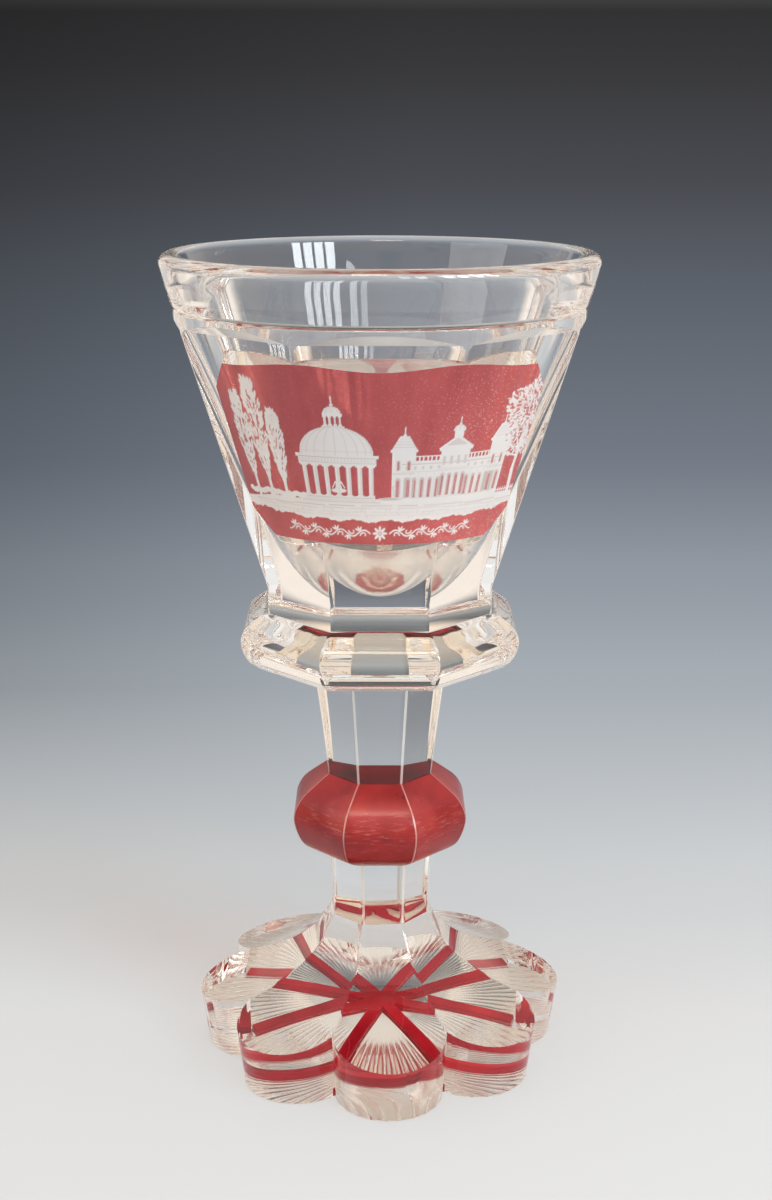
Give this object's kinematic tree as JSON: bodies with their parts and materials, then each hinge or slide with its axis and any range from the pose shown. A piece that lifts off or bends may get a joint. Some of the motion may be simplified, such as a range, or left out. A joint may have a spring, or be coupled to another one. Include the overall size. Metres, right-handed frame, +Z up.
{
  "type": "spa goblet",
  "caption": "Tall footed glass goblet with an octagonal conical bowl, a raised ruby view panel, a cushion collar, a faceted stem with a ruby knop, and a lobed foot cut with fans.",
  "frame": {"origin": "on the table, on the axis of the goblet, at the middle of the foot", "axes": "+Z up along the axis, -Y out of the front, where the view panel is, +X to the right seen from the front"},
  "size_m": [0.097, 0.097, 0.19],
  "materials": {
    "clear_glass": "polished clear cut glass with a faint warm tint",
    "ruby_glass": "polished ruby stain on cut glass, lightly worn at the edges",
    "engraved_ruby": "ruby stain with frosted wheel engraving cut through it"
  },
  "bodies": {
    "root": {"bowl": "clear_glass", "view_panel": "engraved_ruby", "collar": "clear_glass", "upper_stem": "clear_glass", "ruby_knop": "ruby_glass", "lower_stem": "clear_glass", "foot": "clear_glass", "ruby_star": "ruby_glass"}
  },
  "joints": []
}
